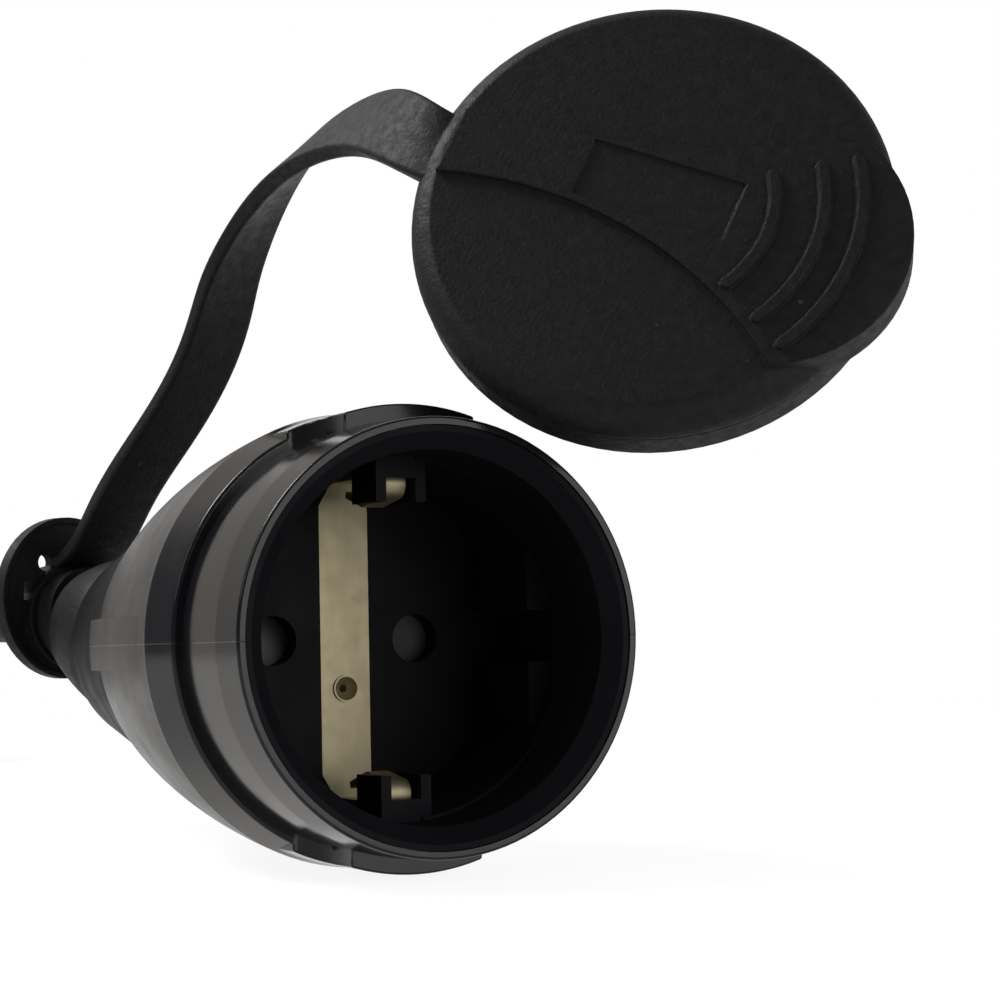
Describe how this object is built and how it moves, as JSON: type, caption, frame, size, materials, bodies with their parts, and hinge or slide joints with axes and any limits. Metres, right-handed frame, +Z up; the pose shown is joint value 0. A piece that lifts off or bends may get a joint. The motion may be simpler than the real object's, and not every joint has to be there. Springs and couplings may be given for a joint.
{
  "type": "camping adapter lead with capped socket coupler",
  "caption": "Camping adapter lead: a round side-earth socket coupler with a strapped rubber cap, on a short rubber cable with a pin-and-shroud plug.",
  "frame": {"origin": "centre of the socket's mouth, on its axis, at the front of the housing's lip", "axes": "the socket looks along -Y and its body and cable run back along +Y; +Z is up, across the two earth clips"},
  "size_m": [0.0779, 0.4679, 0.1023],
  "materials": {
    "black_plastic": "moulded gloss with fine scuffs",
    "insert_plastic": "moulded, satin",
    "shutter_plastic": "moulded, matt",
    "cap_rubber": "moulded rubber with fine grain",
    "cable_rubber": "extruded rubber sheath",
    "seal_rubber": "plain",
    "strip_nickel": "plated strip, lightly tarnished",
    "steel": "zinc plated",
    "brass": "turned and stamped",
    "blue_plastic": "moulded satin",
    "carrier_plastic": "moulded, matt",
    "brown_core": "insulation",
    "blue_core": "insulation",
    "earth_core": "green and yellow insulation"
  },
  "bodies": {
    "coupler": {"housing": "black_plastic", "socket_insert": "insert_plastic", "contact_base": "insert_plastic", "base_screws": "steel", "shutter_spring": "steel", "line_contact": "brass", "neutral_contact": "brass", "terminal_screws": "steel", "earth_strip": "strip_nickel", "earth_rivet": "strip_nickel", "earth_terminal": "brass", "gland_seal": "seal_rubber", "gland_washer": "insert_plastic", "gland_nut": "insert_plastic", "bend_sleeve": "cap_rubber", "cable": "cable_rubber", "line_core": "brown_core", "neutral_core": "blue_core", "earth_core": "earth_core", "plug_body": "black_plastic", "plug_shroud": "blue_plastic", "plug_case_screws": "steel", "plug_pin_carrier": "carrier_plastic", "plug_pin_screws": "steel", "plug_gland_seal": "seal_rubber", "plug_gland_nut": "black_plastic", "plug_line_core": "brown_core", "plug_neutral_core": "blue_core", "plug_earth_core": "earth_core", "plug_line_pin": "brass", "plug_neutral_pin": "brass", "plug_earth_pin": "brass"},
    "shutter": {"shutter": "shutter_plastic"},
    "cap": {"rubber_cap": "cap_rubber"}
  },
  "joints": [
    {"name": "shutter_turn", "type": "hinge", "parent": "coupler", "child": "shutter", "pos_m": [0, 0.0329, 0], "axis": [0, 1, 0], "range_deg": [0, 42], "stiffness_Nm_per_rad": 0.002, "springref_deg": -17.19},
    {"name": "cap_swivel", "type": "hinge", "parent": "coupler", "child": "cap", "pos_m": [-0.00902, 0.11571, 0.0048], "axis": [-0.3659, 0.9307, 0], "range_deg": [0, 50]}
  ]
}
